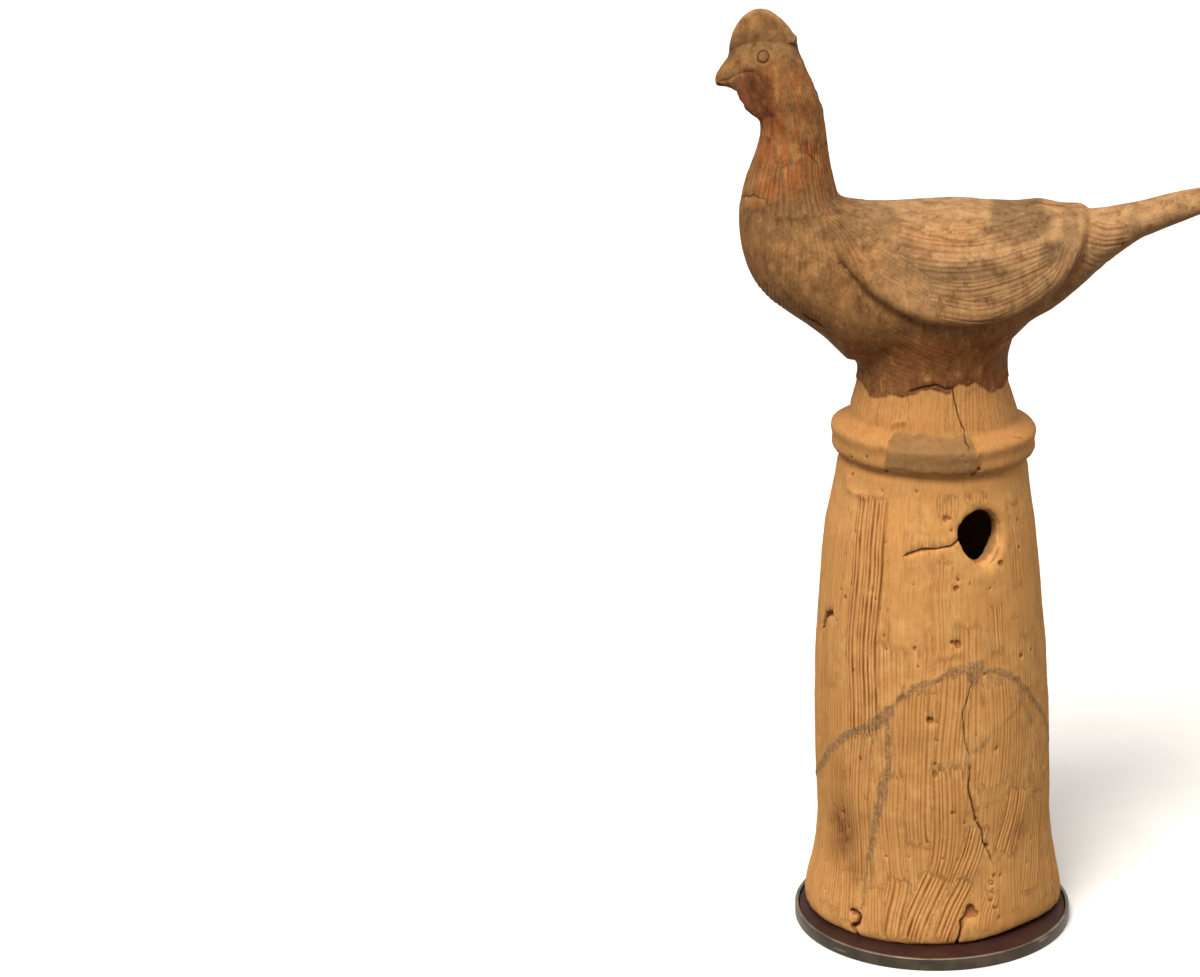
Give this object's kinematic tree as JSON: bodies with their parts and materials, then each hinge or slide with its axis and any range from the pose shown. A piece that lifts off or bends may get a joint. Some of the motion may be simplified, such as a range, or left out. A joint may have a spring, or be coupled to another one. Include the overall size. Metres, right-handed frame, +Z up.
{
  "type": "haniwa rooster figure",
  "caption": "Hollow fired-clay rooster standing on a tall ringed cylinder open at the foot and pierced on both sides, set on a low round metal display stand with a dark lining.",
  "frame": {"origin": "centre of the round stand's flat underside", "axes": "+Z up; the rooster faces -X with its tail towards +X; its left side faces -Y"},
  "size_m": [0.317, 0.1634, 0.5446],
  "materials": {
    "fired_clay": "unglazed, matt, combed and weathered",
    "stand_metal": "dark satin",
    "stand_lining": "dark maroon, satin"
  },
  "bodies": {
    "root": {"haniwa_cylinder": "fired_clay", "haniwa_pierced_band": "fired_clay", "haniwa_ring": "fired_clay", "haniwa_rooster": "fired_clay", "stand_dish": "stand_metal", "stand_lining": "stand_lining"}
  },
  "joints": []
}
